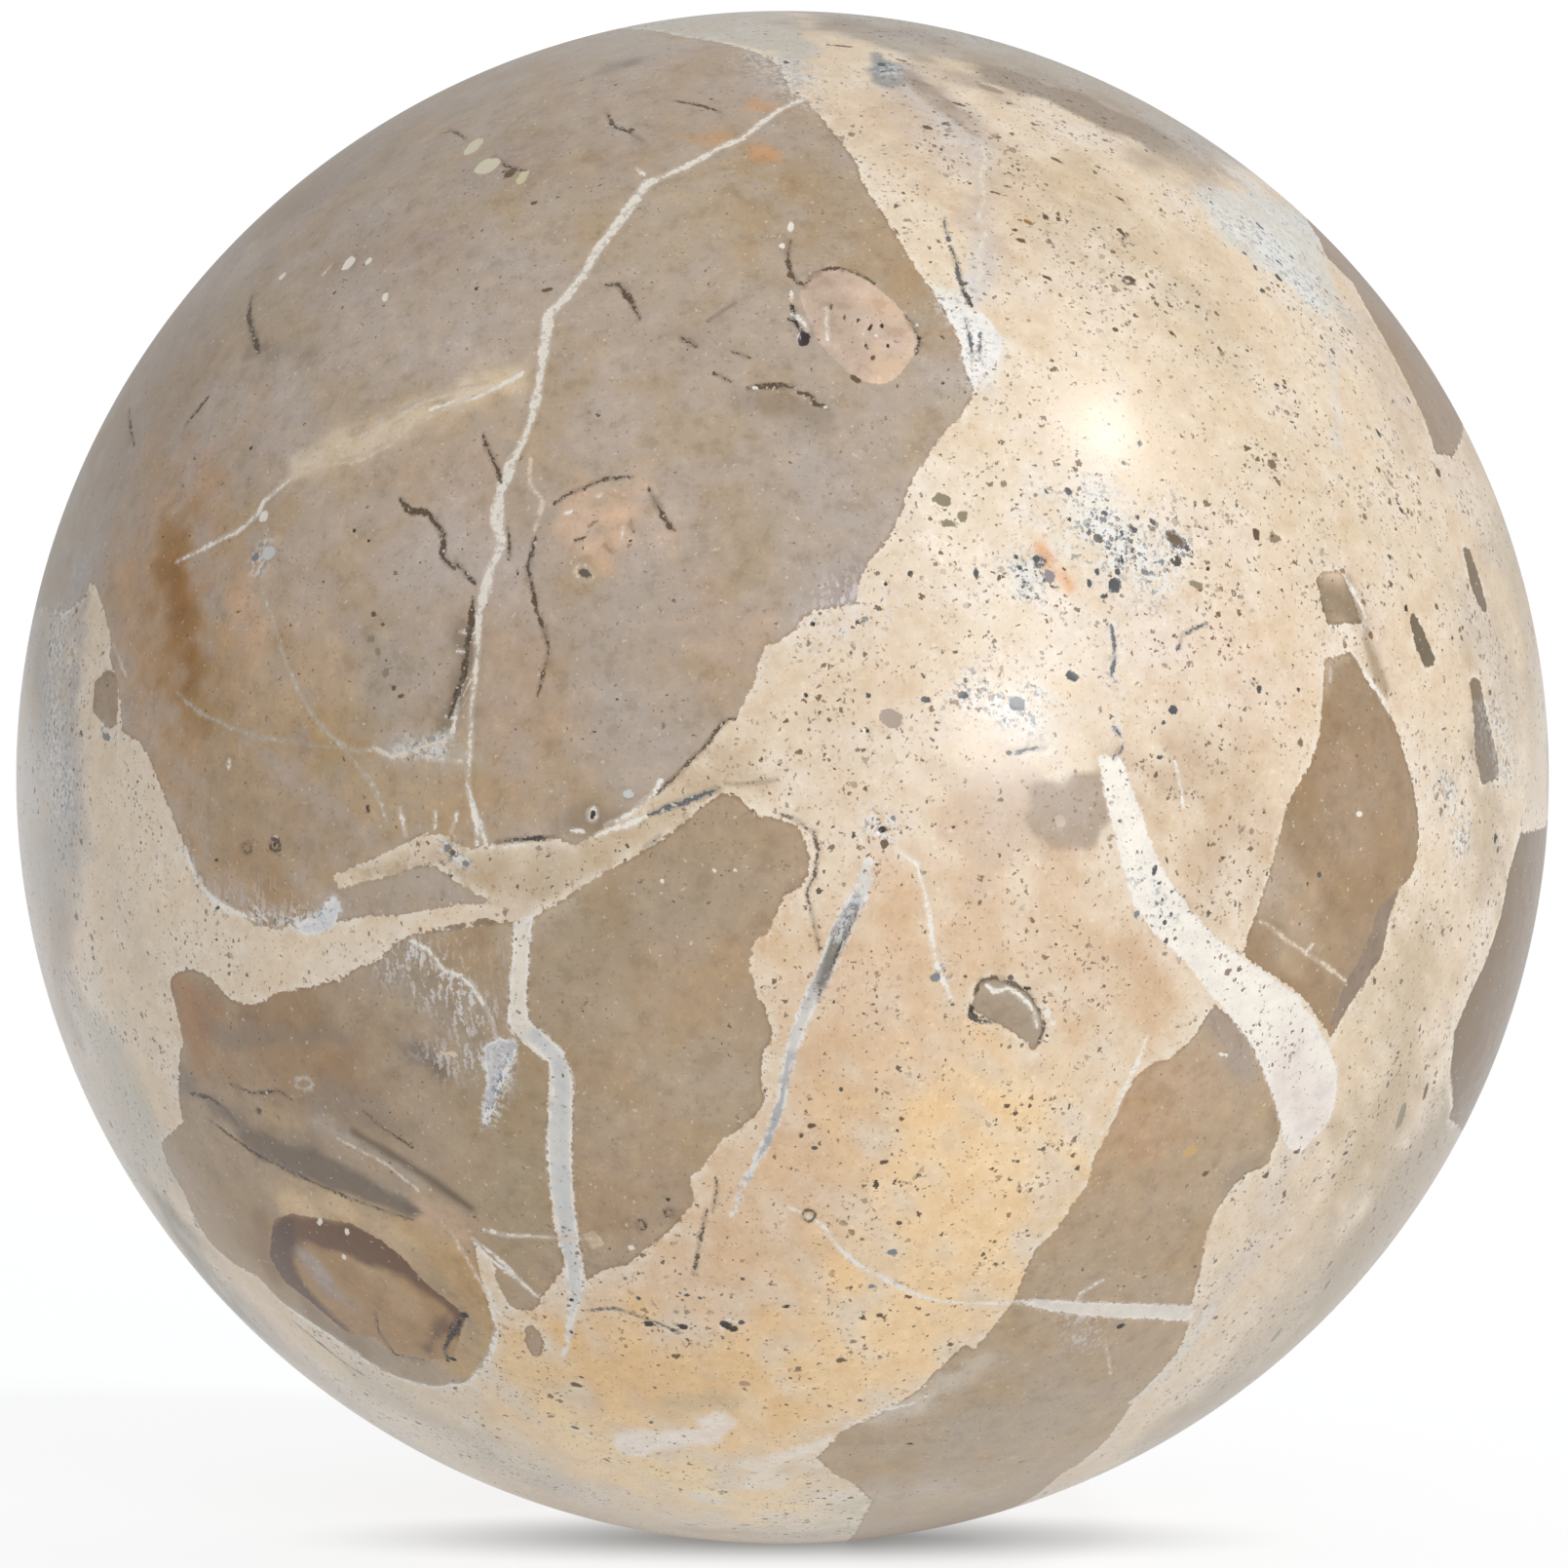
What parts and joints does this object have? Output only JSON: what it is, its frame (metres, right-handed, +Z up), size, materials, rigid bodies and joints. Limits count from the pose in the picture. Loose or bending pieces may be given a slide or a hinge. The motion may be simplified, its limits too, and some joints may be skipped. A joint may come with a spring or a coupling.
{
  "type": "decorative sphere",
  "caption": "Polished solid ball of brecciated stone, with a small ground flat underneath so that it stands on a shelf or table without rolling.",
  "frame": {"origin": "middle of the ground flat, on the surface that the ball stands on", "axes": "+Z up through the ball's centre; -Y is the side that the picture shows; +X is to the right in that view"},
  "size_m": [0.12, 0.12, 0.1196],
  "materials": {
    "stone": "polished brecciated limestone: taupe fragments in a cream ground, with white and blue-grey veins"
  },
  "bodies": {
    "root": {"stone_ball": "stone"}
  },
  "joints": []
}
